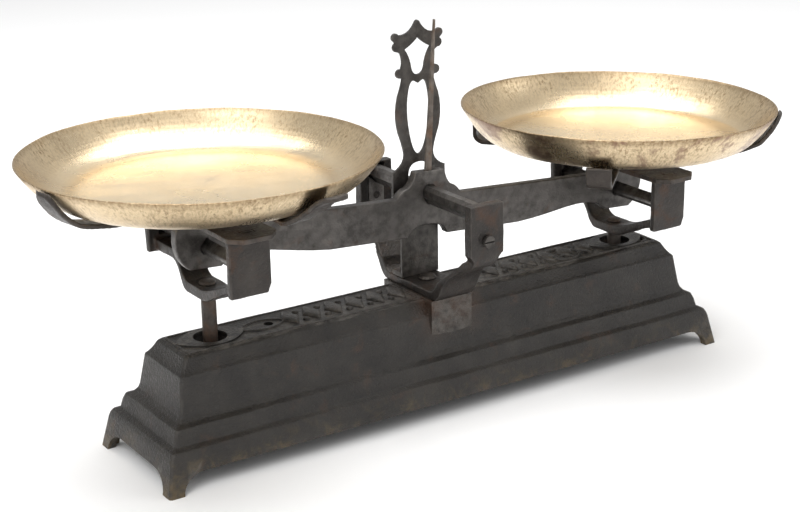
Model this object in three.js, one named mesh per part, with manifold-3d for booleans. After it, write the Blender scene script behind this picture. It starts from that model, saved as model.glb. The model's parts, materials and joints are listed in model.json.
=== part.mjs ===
// Roberval counter balance: a cast-iron base with a forged fork, a rocking beam on knife edges, two
// stirrups that carry brass pans, and a hidden stay that keeps both stirrups upright.
// Millimetres, +X towards the low pan, +Y to the back, +Z up. The balance is modelled as it stands
// empty, with its right end down, and drawn round the middle of its base; at the end it is moved
// so that the origin is on the floor midway between its outermost points.
import * as THREE from "three";
import { mergeVertices } from "three/addons/utils/BufferGeometryUtils.js";
import Module from "manifold-3d";

const wasm = await Module();
wasm.setup();

// ---------------------------------------------------------------- driving dimensions

// Clearances
const GAP = 0.3; // between pieces that touch or are driven into each other
const PIN_PLAY = 0.5; // round a pin in the eye that turns on it
const ROCK_PLAY = 2.2; // beside a knife in the pocket that it rocks in

// Base casting
const BASE_LENGTH = 480;
const BASE_WIDTH = 108;
const BASE_HEIGHT = 82.5;
const BASE_WALL = 5.5;
const BASE_ROOF = 6;
const SKIRT_HEIGHT = 25;
const SKIRT_INSET = 5;
const STEP_INSET = 14;
const STEP_TOP = 40.5;
const PANEL_FOOT = { inset: 22, z: 49.5 };
const PANEL_HEAD = { inset: 25.2, z: 71.4 };
const TOP_INSET = 34;
const FOOT_LENGTH = 11; // of each foot along the side and the end
const FOOT_SWEEP = 17; // the curve from the foot up to the skirt's lower edge
const FOOT_HEIGHT = 13.5;
const STEM_HOLE_R = 11.7;
const COLLAR_HEIGHT = 1.2;
const COLLAR_LENGTH = 50;
const COLLAR_WIDTH = 34;
const PILASTER_HALF_WIDTH = 17.5;
const PILASTER_FOOT = 56;

// Linkage
const above = (rise) => BASE_HEIGHT + rise; // a height over the base's top
const ARM = 178; // centre knife to end knife
const END_DROP = 2.5; // end knife edges below the centre edge, with the beam level
const PIVOT_Z = above(63); // centre knife edge
const STAY_PIVOT_Z = 38;
const TILT = THREE.MathUtils.degToRad(3.55); // right end down, on its stop

// Fork
const FORK_SPAN = 132; // between the inner faces of its arms
const FORK_PLATE = 8;
const FORK_STRAP = 6;
const FORK_ARM_WIDTH = 28;
const FORK_PAD_WIDTH = 32;
const FORK_NECK_WIDTH = 21;
const FORK_ARM_FOOT = above(43.5);
const FORK_TOP = above(79.5);
const POCKET_WIDTH = 14;
const POCKET_DEPTH = 5.3;
const POCKET_Z = [above(45.5), above(77.9)];
const BEARING_TOP = PIVOT_Z + 4.5;
const SCREW_Z = above(53.5);
const SCREW_R = 2.4;
const STUD_R = 4;

// Beam and knives
const BEAM_THICKNESS = 7;
const BEAM_TOP = PIVOT_Z + 6;
const BEAM_BOTTOM = PIVOT_Z - 23.5;
const BEAM_OVERHANG = 23.5; // past the end knife
const HUMP_TOP = PIVOT_Z + 24.5;
const HUMP_HALF_WIDTH = 12.5;
const CENTRE_KNIFE = { width: 9.6, height: 13.6, bevel: 6 };
const END_KNIFE = { width: 8.4, height: 10.3, bevel: 5.5 };
const POINTER_TOP = PIVOT_Z + 132.5;
const POINTER_WIDTH = 5.4;
const POINTER_TIP = 1.2;
const POINTER_THICKNESS = 2;
const POINTER_TANG = 8;

// Lyre frame behind the pointer
const LYRE_FACE_Y = 8.6;
const LYRE_THICKNESS = 2.2;
const LYRE_FOOT_DEPTH = 11;
const LYRE_FOOT_THICKNESS = 3.5;
const LYRE_SCREW_R = 1.8;
const LYRE_SCREW_X = 9;
const LYRE_DRAWING_PIVOT = 145.5; // height of the centre knife edge in the lyre's own drawing

// Stirrups, with the beam level
const STIRRUP_SPAN = 114; // between the inner faces of its plates
const STIRRUP_PLATE = 5.5;
const STIRRUP_WIDTH = 30;
const STIRRUP_TOP = above(75.7);
const STIRRUP_FOOT = above(36.7);
const STIRRUP_BEVEL = { width: 2.5, height: 7 }; // of the plates' right-hand lower corner
const YOKE_WIDTH = 20;
const YOKE_BOTTOM = above(20.5);
const END_POCKET_DEPTH = 3.8;
const BRIDGE_WIDTH = 36;
const BRIDGE_THICKNESS = 3.5;
const BRIDGE_OVERHANG = 11.5;
const BRIDGE_CHAMFER = 8;
const TENON = { width: 9, depth: 3.6 };
const STEM_R = 5.15;
const STEM_TENON_R = 3.6;
const CLEVIS = { width: 16, depth: 15, below: 9.5, above: 16 };
const PIN_R = 3.4;

// Pan cross
const HUB_R = 16;
const LEFT_HUB = 6; // thickness of the washer between bridge and straps
const RIGHT_HUB = 3;
const STRAP_THICKNESS = 3.2;
const STRAP_WIDTH = 18.5;
const PAN_R = 120.5;
const HOOK_REACH = PAN_R + 13.5; // tip of a hook that stands off from the pan
const HOOK_CLEARANCE = 0.9; // between a closed hook's tip and the pan's wall
const HOOK_BOW = 1.8; // how much further off it stands half way up
const HOOK_START = 10; // inside the pan's floor radius, where a strap leaves the flat
const CROSS_RIVET_R = 3.5;
const LEFT_CROSS_ANGLE = 11.4; // of the lower strap from +X, in degrees
const RIGHT_CROSS_ANGLE = 43;

// Pans
const LEFT_PAN_FLOOR_R = PAN_R - 36.5;
const LEFT_PAN_DEPTH = 24.5;
const LEFT_PAN_FLARE = 2.3; // exponent of the wall's curve
const LEFT_PAN_SHEET = 1.2;
const LEFT_PAN_FLOOR_Z = above(93.9); // underside, with the beam level
const RIGHT_PAN_FLOOR_R = PAN_R - 24.5;
const RIGHT_PAN_DEPTH = 26;
const RIGHT_PAN_FLARE = 1.6;
const RIGHT_PAN_SHEET = 1.3; // the heavier pan keeps the empty balance on its right stop
const RIGHT_PAN_FLOOR_Z = above(94.9);
const RIGHT_PAN_LEAN = THREE.MathUtils.degToRad(1.05); // its outer side low
const PAN_SEGMENTS = 60;

// Stay
const STAY_THICKNESS = 5;
const STAY_EYE_R = 9;
const STAY_HEIGHT = 10;
const HANGER_LEG_Y = 11;
const HANGER_LEG = 4;
const HANGER_WIDTH = 20;
const HANGER_TOP = 3;
const STOP_X = ARM - 38; // the lugs under the roof that the raised end of the stay comes up against
const STOP_LUG = { length: 12, width: 9, taper: 2 };
const STOP_GAP = 0.4;

const ROUND = 24; // sides of a small cylinder

// ---------------------------------------------------------------- materials

const castIron = { color: 0x2f2b28, roughness: 0.8, metalness: 0.55 };
const forgedIron = { color: 0x3a3633, roughness: 0.65, metalness: 0.7 };
const rustyIron = { color: 0x4a372c, roughness: 0.75, metalness: 0.6 };
const knifeSteel = { color: 0x4b4743, roughness: 0.5, metalness: 0.85 };
const panBrass = { color: 0xc9a45c, roughness: 0.28, metalness: 0.95 };

// ---------------------------------------------------------------- solid helpers

function solidOf(geometry) {
  const bare = geometry.index ? geometry.toNonIndexed() : geometry.clone();
  bare.deleteAttribute("normal");
  bare.deleteAttribute("uv");
  const merged = mergeVertices(bare, 1e-4);
  return new wasm.Manifold(
    new wasm.Mesh({
      numProp: 3,
      vertProperties: new Float32Array(merged.attributes.position.array),
      triVerts: new Uint32Array(merged.index.array),
    }),
  );
}

function geometryOf(solid) {
  const { vertProperties, triVerts } = solid.getMesh();
  const geometry = new THREE.BufferGeometry();
  geometry.setAttribute("position", new THREE.BufferAttribute(vertProperties, 3));
  geometry.setIndex(new THREE.BufferAttribute(triVerts, 1));
  const flat = geometry.toNonIndexed();
  flat.computeVertexNormals();
  return flat;
}

const join = (first, ...others) => others.reduce((whole, solid) => whole.add(solid), first);
const cut = (first, ...others) => others.reduce((rest, solid) => rest.subtract(solid), first);

// A closed outline from [a, b] points.
function outline(points) {
  return new THREE.Shape(points.map(([a, b]) => new THREE.Vector2(a, b)));
}

function extruded(shape, thickness, curveSegments = 6) {
  const geometry = new THREE.ExtrudeGeometry(shape, {
    depth: thickness,
    bevelEnabled: false,
    curveSegments,
  });
  return geometry.translate(0, 0, -thickness / 2);
}

// An outline drawn in X and Z, as a plate centred on the plane Y = y.
function plateXZ(shape, thickness, y = 0, curveSegments = 6) {
  const geometry = extruded(shape, thickness, curveSegments);
  return solidOf(geometry.rotateX(Math.PI / 2).translate(0, y, 0));
}

// An outline drawn in Y and Z, as a plate centred on the plane X = x.
function plateYZ(shape, thickness, x = 0, curveSegments = 6) {
  const turn = new THREE.Matrix4().set(0, 0, 1, 0, 1, 0, 0, 0, 0, 1, 0, 0, 0, 0, 0, 1);
  return solidOf(extruded(shape, thickness, curveSegments).applyMatrix4(turn).translate(x, 0, 0));
}

// An outline drawn in X and Y, as a plate from the height bottom to the height top.
function plateXY(shape, bottom, top, curveSegments = 6) {
  const geometry = extruded(shape, top - bottom, curveSegments);
  return solidOf(geometry.translate(0, 0, (bottom + top) / 2));
}

function block([x0, x1], [y0, y1], [z0, z1]) {
  const geometry = new THREE.BoxGeometry(x1 - x0, y1 - y0, z1 - z0);
  return solidOf(geometry.translate((x0 + x1) / 2, (y0 + y1) / 2, (z0 + z1) / 2));
}

function rodZ(radius, z0, z1, x = 0, y = 0, sides = ROUND) {
  const geometry = new THREE.CylinderGeometry(radius, radius, z1 - z0, sides);
  return solidOf(geometry.rotateX(Math.PI / 2).translate(x, y, (z0 + z1) / 2));
}

function rodY(radius, y0, y1, x = 0, z = 0, sides = ROUND) {
  const geometry = new THREE.CylinderGeometry(radius, radius, y1 - y0, sides);
  return solidOf(geometry.translate(x, (y0 + y1) / 2, z));
}

// A profile of [radius, z] points turned round the Z axis; it starts and ends on the axis.
function turned(points, segments = ROUND) {
  const profile = points.map(([r, z]) => new THREE.Vector2(r, z));
  return solidOf(new THREE.LatheGeometry(profile, segments).rotateX(Math.PI / 2));
}

// A solid through rectangular rings of [half length, half width, z], from the bottom up.
function stacked(rings) {
  const positions = [];
  const index = [];
  for (const [a, b, z] of rings) positions.push(-a, -b, z, a, -b, z, a, b, z, -a, b, z);
  for (let ring = 0; ring < rings.length - 1; ring++) {
    for (let side = 0; side < 4; side++) {
      const low = 4 * ring + side;
      const next = 4 * ring + ((side + 1) % 4);
      index.push(low, next, next + 4, low, next + 4, low + 4);
    }
  }
  const top = 4 * (rings.length - 1);
  index.push(0, 2, 1, 0, 3, 2, top, top + 1, top + 2, top, top + 2, top + 3);
  const geometry = new THREE.BufferGeometry();
  geometry.setAttribute("position", new THREE.Float32BufferAttribute(positions, 3));
  geometry.setIndex(index);
  return solidOf(geometry);
}

// A ribbon of even thickness along a curve in its own plane.
function ribbon(curve, thickness, steps) {
  const left = [];
  const right = [];
  for (let i = 0; i <= steps; i++) {
    const point = curve.getPoint(i / steps);
    const along = curve.getTangent(i / steps);
    left.push([point.x - (along.y * thickness) / 2, point.y + (along.x * thickness) / 2]);
    right.push([point.x + (along.y * thickness) / 2, point.y - (along.x * thickness) / 2]);
  }
  return outline([...right, ...left.reverse()]);
}

function addNode(group, name, solid, look) {
  const mesh = new THREE.Mesh(geometryOf(solid), new THREE.MeshStandardMaterial(look));
  mesh.name = name;
  group.add(mesh);
}

// ---------------------------------------------------------------- base

const baseHalfLength = BASE_LENGTH / 2;
const baseHalfWidth = BASE_WIDTH / 2;

// The base's outer section, from the floor up: how far each level lies in from the foot.
const MOULDING = [
  [0, 0],
  [SKIRT_INSET, SKIRT_HEIGHT],
  [SKIRT_INSET + 2, SKIRT_HEIGHT + 3],
  [STEP_INSET - 3, SKIRT_HEIGHT + 5],
  [STEP_INSET - 1.5, SKIRT_HEIGHT + 11],
  [STEP_INSET + 0.5, STEP_TOP],
  [STEP_INSET + 4.5, STEP_TOP + 2],
  [PANEL_FOOT.inset - 1, PANEL_FOOT.z - 3],
  [PANEL_FOOT.inset, PANEL_FOOT.z],
  [PANEL_HEAD.inset, PANEL_HEAD.z],
  [PANEL_HEAD.inset + 1.6, PANEL_HEAD.z + 1.2],
  [PANEL_HEAD.inset + 3.4, PANEL_HEAD.z + 3],
  [PANEL_HEAD.inset + 5.2, PANEL_HEAD.z + 6.8],
  [TOP_INSET - 2, BASE_HEIGHT - 1.4],
  [TOP_INSET, BASE_HEIGHT],
];

function ringAt([inset, z]) {
  return [baseHalfLength - inset, baseHalfWidth - inset, z];
}

// The open space between two feet, drawn across a side or an end of the given half length.
function footGap(halfLength) {
  const toe = halfLength - FOOT_LENGTH;
  const shoulder = toe - FOOT_SWEEP;
  const shape = new THREE.Shape();
  shape.moveTo(-toe, -1);
  shape.lineTo(-toe, 0);
  shape.quadraticCurveTo(-toe + FOOT_SWEEP * 0.35, FOOT_HEIGHT, -shoulder, FOOT_HEIGHT);
  shape.lineTo(shoulder, FOOT_HEIGHT);
  shape.quadraticCurveTo(toe - FOOT_SWEEP * 0.35, FOOT_HEIGHT, toe, 0);
  shape.lineTo(toe, -1);
  return shape;
}

// The raised, pointed collar round a stem hole.
function collar(x) {
  const shape = new THREE.Shape();
  shape.moveTo(x - COLLAR_LENGTH / 2, 0);
  shape.quadraticCurveTo(x, -COLLAR_WIDTH, x + COLLAR_LENGTH / 2, 0);
  shape.quadraticCurveTo(x, COLLAR_WIDTH, x - COLLAR_LENGTH / 2, 0);
  return plateXY(shape, BASE_HEIGHT - 1, BASE_HEIGHT + COLLAR_HEIGHT);
}

// A lug cast under the roof. Its foot is where the stay's upper edge comes to at the end of the
// beam's travel.
function stopLug(side) {
  const stayRise = STOP_X * Math.tan(TILT) - (END_DROP * STOP_X) / ARM;
  const foot = STAY_PIVOT_Z + stayRise + STAY_HEIGHT / 2 / Math.cos(TILT) + STOP_GAP;
  const slope = (STOP_LUG.length / 2) * Math.tan(TILT);
  const x = (value) => side * (STOP_X + value);
  const half = STOP_LUG.length / 2;
  const top = BASE_HEIGHT - BASE_ROOF + 1;
  const shape = outline([
    [x(-half), foot - slope],
    [x(half), foot + slope],
    [x(half + STOP_LUG.taper), top],
    [x(-half - STOP_LUG.taper), top],
  ]);
  return plateXZ(shape, STOP_LUG.width);
}

function baseCasting() {
  const roofUnderside = BASE_HEIGHT - BASE_ROOF;
  const hollow = stacked([
    ringAt([BASE_WALL, -1]),
    ringAt([SKIRT_INSET + BASE_WALL, SKIRT_HEIGHT]),
    ringAt([PANEL_FOOT.inset + BASE_WALL, PANEL_FOOT.z]),
    ringAt([PANEL_HEAD.inset + BASE_WALL, PANEL_HEAD.z]),
    ringAt([PANEL_HEAD.inset + BASE_WALL + 2, roofUnderside]),
  ]);
  const pilasterHalfDepth = baseHalfWidth - PANEL_FOOT.inset - 1;
  const pilaster = block(
    [-PILASTER_HALF_WIDTH, PILASTER_HALF_WIDTH],
    [-pilasterHalfDepth, pilasterHalfDepth],
    [PILASTER_FOOT, BASE_HEIGHT],
  );
  const outside = join(stacked(MOULDING.map(ringAt)), pilaster, collar(-ARM), collar(ARM));
  return cut(
    join(cut(outside, hollow), stopLug(-1), stopLug(1)),
    plateXZ(footGap(baseHalfLength), BASE_WIDTH + 2),
    plateYZ(footGap(baseHalfWidth), BASE_LENGTH + 2),
    rodZ(STEM_HOLE_R, roofUnderside - 1, BASE_HEIGHT + COLLAR_HEIGHT + 1, -ARM, 0, 36),
    rodZ(STEM_HOLE_R, roofUnderside - 1, BASE_HEIGHT + COLLAR_HEIGHT + 1, ARM, 0, 36),
    rodZ(STUD_R + GAP, roofUnderside - 1, BASE_HEIGHT + 1),
  );
}

// ---------------------------------------------------------------- fork and its bearings

const forkSeat = BASE_HEIGHT + GAP;
const padTop = forkSeat + FORK_STRAP;
const armInner = FORK_SPAN / 2;
const armOuter = armInner + FORK_PLATE;

// One half of the fork's side view, mirrored by the sign of side. The points run outwards along
// the underside, and back along the inner face.
function forkHalf(shape, side) {
  const y = (value) => side * value;
  shape.moveTo(y(-1), forkSeat);
  shape.lineTo(y(armInner - 37), forkSeat);
  shape.quadraticCurveTo(y(armInner - 30), forkSeat, y(armInner - 26.5), forkSeat + 8.7);
  shape.quadraticCurveTo(y(armInner - 20), forkSeat + 23.2, y(armInner - 6), forkSeat + 28.7);
  shape.quadraticCurveTo(y(armOuter), forkSeat + 33.7, y(armOuter), FORK_ARM_FOOT);
  shape.lineTo(y(armOuter), FORK_TOP);
  shape.lineTo(y(armInner), FORK_TOP);
  shape.lineTo(y(armInner), FORK_ARM_FOOT);
  shape.quadraticCurveTo(y(armInner), forkSeat + 38.7, y(armInner - 7.5), forkSeat + 35.2);
  shape.quadraticCurveTo(y(armInner - 21), forkSeat + 22.2, y(armInner - 31.5), forkSeat + 14.7);
  shape.quadraticCurveTo(y(armInner - 35), padTop, y(armInner - 42), padTop);
  shape.lineTo(y(-1), padTop);
  return shape;
}

// The fork seen from the front: a wide pad, a narrow neck and wide arms.
function forkFront() {
  const arm = FORK_ARM_WIDTH / 2;
  const neck = FORK_NECK_WIDTH / 2;
  const pad = FORK_PAD_WIDTH / 2;
  const right = [
    [pad, forkSeat - 1],
    [pad, forkSeat + 17],
    [neck, FORK_ARM_FOOT - 11],
    [neck, FORK_ARM_FOOT - 4.5],
    [arm, FORK_ARM_FOOT],
    [arm, FORK_TOP + 1],
  ];
  const left = right.map(([x, z]) => [-x, z]).reverse();
  return outline([...right, ...left]);
}

function fork() {
  const width = FORK_PAD_WIDTH + 2;
  const halves = [1, -1].map((side) => plateYZ(forkHalf(new THREE.Shape(), side), width));
  const reach = 2 * armOuter + 2;
  const strap = join(...halves).intersect(plateXZ(forkFront(), reach));
  const pocket = (side) =>
    block(
      [-POCKET_WIDTH / 2, POCKET_WIDTH / 2],
      side > 0 ? [armInner - 1, armInner + POCKET_DEPTH] : [-armInner - POCKET_DEPTH, 1 - armInner],
      POCKET_Z,
    );
  const lyreScrewY = LYRE_FACE_Y + LYRE_THICKNESS + LYRE_FOOT_DEPTH / 2;
  return cut(
    strap,
    pocket(1),
    pocket(-1),
    rodY(SCREW_R + GAP, -armOuter - 1, -armInner, 0, SCREW_Z),
    rodY(SCREW_R + GAP, armInner, armOuter + 1, 0, SCREW_Z),
    rodZ(STUD_R + GAP, forkSeat - 1, padTop + 1),
    rodZ(LYRE_SCREW_R + GAP, forkSeat - 1, padTop + 1, -LYRE_SCREW_X, lyreScrewY, 16),
    rodZ(LYRE_SCREW_R + GAP, forkSeat - 1, padTop + 1, LYRE_SCREW_X, lyreScrewY, 16),
  );
}

// A hardened block in an arm's pocket, with the V notch that the centre knife rocks in. Built for
// the rear arm; the front one is turned half round.
function forkBearing() {
  const half = POCKET_WIDTH / 2 - GAP;
  const notch = 5;
  const bottom = PIVOT_Z - GAP;
  const shape = outline([
    [-half, POCKET_Z[0] + GAP],
    [half, POCKET_Z[0] + GAP],
    [half, BEARING_TOP],
    [notch, BEARING_TOP],
    [0, bottom],
    [-notch, BEARING_TOP],
    [-half, BEARING_TOP],
  ]);
  const thickness = POCKET_DEPTH - 2 * GAP;
  const body = plateXZ(shape, thickness, armInner + GAP + thickness / 2);
  return cut(body, rodY(SCREW_R + GAP, armInner - 1, armOuter, 0, SCREW_Z));
}

// The slotted screw that holds a bearing, entered from the arm's outer face.
function bearingScrew() {
  const headFoot = armOuter + GAP;
  const headR = 4.3;
  const headHeight = 3;
  const shank = rodY(SCREW_R, armInner + 2 * GAP, headFoot + 0.1, 0, SCREW_Z);
  const head = rodY(headR, headFoot, headFoot + headHeight, 0, SCREW_Z);
  const slot = block(
    [-headR - 1, headR + 1],
    [headFoot + headHeight - 1.3, headFoot + headHeight + 1],
    [SCREW_Z - 0.55, SCREW_Z + 0.55],
  );
  return cut(join(shank, head), slot);
}

function forkStud() {
  const headFoot = padTop + GAP;
  return turned([
    [0, BASE_HEIGHT - BASE_ROOF - HANGER_TOP - 12],
    [STUD_R, BASE_HEIGHT - BASE_ROOF - HANGER_TOP - 12],
    [STUD_R, headFoot],
    [7, headFoot],
    [6, headFoot + 1.8],
    [3.5, headFoot + 2.7],
    [0, headFoot + 3],
  ]);
}

function forkNut() {
  const top = BASE_HEIGHT - BASE_ROOF - HANGER_TOP - 2 * GAP;
  const body = rodZ(8, top - 7, top, 0, 0, 6);
  return cut(body, rodZ(STUD_R + GAP, top - 8, top + 1));
}

// ---------------------------------------------------------------- lyre frame

// The right half of the lyre's outline, from its foot up to its peak.
function lyreRight(shape) {
  shape.lineTo(16, 126);
  shape.quadraticCurveTo(16.5, 142, 22.5, 150);
  shape.lineTo(22.5, 169.3);
  shape.quadraticCurveTo(12.4, 173.5, 12.4, 181);
  shape.quadraticCurveTo(13, 187, 17.1, 197.5);
  shape.quadraticCurveTo(20.8, 210.5, 17.1, 224);
  shape.quadraticCurveTo(13.8, 232, 13.2, 236.8);
  shape.absarc(15.2, 240.3, 3.3, -Math.PI * 0.5, Math.PI * 0.6, false);
  shape.quadraticCurveTo(12, 248.5, 14.5, 254.4);
  shape.absarc(17.2, 259.3, 3.4, -Math.PI * 0.55, Math.PI * 0.35, false);
  shape.absarc(18.5, 266.3, 3, -Math.PI * 0.35, Math.PI * 0.85, false);
  shape.quadraticCurveTo(6.5, 266.5, 1.5, 276.2);
  shape.lineTo(0, 277);
}

// The same half run back down, mirrored.
function mirrored(shape, points) {
  for (const point of points.reverse()) shape.lineTo(-point.x, point.y);
}

function symmetricOutline(start, drawRight, divisions) {
  const half = new THREE.Shape();
  half.moveTo(0, start);
  drawRight(half);
  const points = half.getPoints(divisions);
  const whole = new THREE.Shape(points.slice());
  mirrored(whole, points.slice(1, -1));
  return whole;
}

// The three openings, each by its right half from the bottom up.
function tulipOpening(shape) {
  shape.quadraticCurveTo(4.6, 238.4, 5.6, 244);
  shape.quadraticCurveTo(6.4, 251, 10.9, 257.2);
  shape.quadraticCurveTo(4.5, 260.2, 0, 264.8);
}

function ovalOpening(shape) {
  shape.quadraticCurveTo(3.6, 180.5, 6.4, 190);
  shape.quadraticCurveTo(11.8, 212, 8.2, 228);
  shape.quadraticCurveTo(6.4, 235.8, 2.6, 233.6);
  shape.lineTo(0, 232);
}

function archOpening(shape) {
  shape.lineTo(9.3, 139);
  shape.lineTo(9.3, 166.5);
  shape.quadraticCurveTo(8.6, 174.6, 0, 174.6);
}

function lyrePlate() {
  const lift = PIVOT_Z - LYRE_DRAWING_PIVOT;
  const footBottom = padTop + GAP - lift;
  const middle = LYRE_FACE_Y + LYRE_THICKNESS / 2;
  const outer = symmetricOutline(footBottom, (shape) => {
    shape.lineTo(FORK_PAD_WIDTH / 2, footBottom);
    lyreRight(shape);
  }, 5);
  const openings = [
    symmetricOutline(238.2, tulipOpening, 5),
    symmetricOutline(180.5, ovalOpening, 7),
    symmetricOutline(139, archOpening, 6),
  ];
  const plate = plateXZ(outer, LYRE_THICKNESS, middle);
  const holes = openings.map((shape) => plateXZ(shape, LYRE_THICKNESS + 2, middle));
  const back = LYRE_FACE_Y + LYRE_THICKNESS;
  const foot = block(
    [-FORK_PAD_WIDTH / 2, FORK_PAD_WIDTH / 2],
    [back - 1, back + LYRE_FOOT_DEPTH],
    [footBottom, footBottom + LYRE_FOOT_THICKNESS],
  );
  const top = footBottom + LYRE_FOOT_THICKNESS + 1;
  const screwHole = (x) =>
    rodZ(LYRE_SCREW_R + GAP, footBottom - 1, top, x, back + LYRE_FOOT_DEPTH / 2, 16);
  const solid = cut(join(plate, foot), ...holes, screwHole(LYRE_SCREW_X), screwHole(-LYRE_SCREW_X));
  return solid.translate([0, 0, lift]);
}

function lyreScrew(side) {
  const x = side * LYRE_SCREW_X;
  const y = LYRE_FACE_Y + LYRE_THICKNESS + LYRE_FOOT_DEPTH / 2;
  const headFoot = padTop + LYRE_FOOT_THICKNESS + 2 * GAP;
  const shank = rodZ(LYRE_SCREW_R, forkSeat + GAP, headFoot + 0.1, x, y, 16);
  const head = rodZ(3.4, headFoot, headFoot + 2, x, y, 16);
  const slot = block([x - 4, x + 4], [y - 0.45, y + 0.45], [headFoot + 1.1, headFoot + 3]);
  return cut(join(shank, head), slot);
}

// ---------------------------------------------------------------- beam, in its level position

const endEdgeZ = PIVOT_Z - END_DROP;

// A knife's section, with its edge at the origin and its body on the side given by up.
function knifeSection({ width, height, bevel }, up, clearance = 0) {
  const half = width / 2 + clearance;
  const tip = -clearance * 1.5;
  const back = height + clearance;
  const points = [
    [0, tip],
    [half, bevel],
    [half, back - width * 0.3],
    [half * 0.6, back],
    [-half * 0.6, back],
    [-half, back - width * 0.3],
    [-half, bevel],
  ];
  return outline(up > 0 ? points : points.map(([x, z]) => [x, -z]).reverse());
}

function knife(section, up, length, x, z, clearance = 0) {
  const solid = plateXZ(knifeSection(section, up, clearance), length);
  return solid.translate([x, 0, z]);
}

// The beam's right half, from the middle of its underside round to the middle of its top.
function beamRight(shape) {
  const end = ARM + BEAM_OVERHANG;
  shape.quadraticCurveTo(14.5, BEAM_BOTTOM + 8.5, 17, BEAM_BOTTOM);
  shape.lineTo(82, BEAM_BOTTOM);
  shape.bezierCurveTo(112, BEAM_BOTTOM + 2, 128, BEAM_BOTTOM + 8, ARM - 30, BEAM_BOTTOM + 7.5);
  shape.quadraticCurveTo(ARM - 18, BEAM_BOTTOM + 6.5, ARM - 11, BEAM_BOTTOM);
  shape.lineTo(end - 11, BEAM_BOTTOM);
  shape.quadraticCurveTo(end + 0.5, BEAM_BOTTOM + 8, end, BEAM_TOP - 6);
  shape.quadraticCurveTo(end, BEAM_TOP, end - 5, BEAM_TOP);
  shape.lineTo(28, BEAM_TOP);
  shape.quadraticCurveTo(23.5, BEAM_TOP + 6.5, 19, BEAM_TOP + 7);
  shape.quadraticCurveTo(HUMP_HALF_WIDTH + 2, HUMP_TOP - 8, HUMP_HALF_WIDTH, HUMP_TOP);
  shape.lineTo(0, HUMP_TOP);
}

function beam() {
  const body = plateXZ(symmetricOutline(BEAM_BOTTOM + 8.5, beamRight, 6), BEAM_THICKNESS);
  const through = BEAM_THICKNESS + 2;
  return cut(
    body,
    knife(CENTRE_KNIFE, 1, through, 0, PIVOT_Z, GAP),
    knife(END_KNIFE, -1, through, -ARM, endEdgeZ, GAP),
    knife(END_KNIFE, -1, through, ARM, endEdgeZ, GAP),
    block(
      [-POINTER_WIDTH / 2 - GAP, POINTER_WIDTH / 2 + GAP],
      [-POINTER_THICKNESS / 2 - GAP, POINTER_THICKNESS / 2 + GAP],
      [HUMP_TOP - POINTER_TANG - GAP, HUMP_TOP + 1],
    ),
  );
}

function pointer() {
  const shape = outline([
    [-POINTER_WIDTH / 2, HUMP_TOP - POINTER_TANG],
    [POINTER_WIDTH / 2, HUMP_TOP - POINTER_TANG],
    [POINTER_WIDTH / 2, HUMP_TOP + 2],
    [POINTER_TIP / 2, POINTER_TOP],
    [-POINTER_TIP / 2, POINTER_TOP],
    [-POINTER_WIDTH / 2, HUMP_TOP + 2],
  ]);
  return plateXZ(shape, POINTER_THICKNESS);
}

// ---------------------------------------------------------------- stirrup and pan cross
// Each is modelled round x = 0 at the height that it has with the beam level.

const plateInner = STIRRUP_SPAN / 2;
const plateOuter = plateInner + STIRRUP_PLATE;
const plateMiddle = plateInner + STIRRUP_PLATE / 2;
const yokeTop = YOKE_BOTTOM + 7.5;

// The rear half of the yoke's side view: from under the stem out, steeply up and along to its plate.
function yokeRear() {
  const z = (value) => YOKE_BOTTOM + value;
  const shape = new THREE.Shape();
  shape.moveTo(-1, z(0));
  shape.lineTo(12, z(0));
  shape.quadraticCurveTo(17, z(0.6), 21, z(8));
  shape.quadraticCurveTo(25.5, z(18.5), 31, z(18.5));
  shape.lineTo(plateInner + 1, z(18));
  shape.lineTo(plateInner + 1, z(25.5));
  shape.lineTo(30, z(25.5));
  shape.quadraticCurveTo(24, z(24.5), 20, z(14.5));
  shape.quadraticCurveTo(16, z(8), 9, yokeTop);
  shape.lineTo(-1, yokeTop);
  return plateYZ(shape, YOKE_WIDTH);
}

// The front half, which slants gently out to its plate.
function yokeFront() {
  const z = (value) => YOKE_BOTTOM + value;
  const shape = new THREE.Shape();
  shape.moveTo(1, z(0));
  shape.lineTo(-10, z(0));
  shape.quadraticCurveTo(-17, z(0.3), -22.7, z(4));
  shape.lineTo(14.7 - plateInner, z(13));
  shape.quadraticCurveTo(8 - plateInner, z(16), -plateInner - 1, z(16.5));
  shape.lineTo(-plateInner - 1, z(23.5));
  shape.quadraticCurveTo(8 - plateInner, z(22.5), 23 - plateInner, z(15.5));
  shape.quadraticCurveTo(-18, z(8.5), -9, yokeTop);
  shape.lineTo(1, yokeTop);
  return plateYZ(shape, YOKE_WIDTH);
}

// A stirrup plate seen from the front, with one lower corner bevelled.
function stirrupPlate(side) {
  const half = STIRRUP_WIDTH / 2;
  const shape = outline([
    [-half, STIRRUP_FOOT],
    [half - STIRRUP_BEVEL.width, STIRRUP_FOOT],
    [half, STIRRUP_FOOT + STIRRUP_BEVEL.height],
    [half, STIRRUP_TOP],
    [-half, STIRRUP_TOP],
  ]);
  return plateXZ(shape, STIRRUP_PLATE, side * plateMiddle);
}

const bridgeBottom = STIRRUP_TOP + GAP;
const bridgeTop = bridgeBottom + BRIDGE_THICKNESS;

function tenon(side, clearance = 0) {
  const half = TENON.width / 2 + clearance;
  const middle = side * plateMiddle;
  const depth = TENON.depth / 2 + clearance;
  return block([-half, half], [middle - depth, middle + depth], [STIRRUP_TOP - 1, bridgeTop + 0.4]);
}

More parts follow.
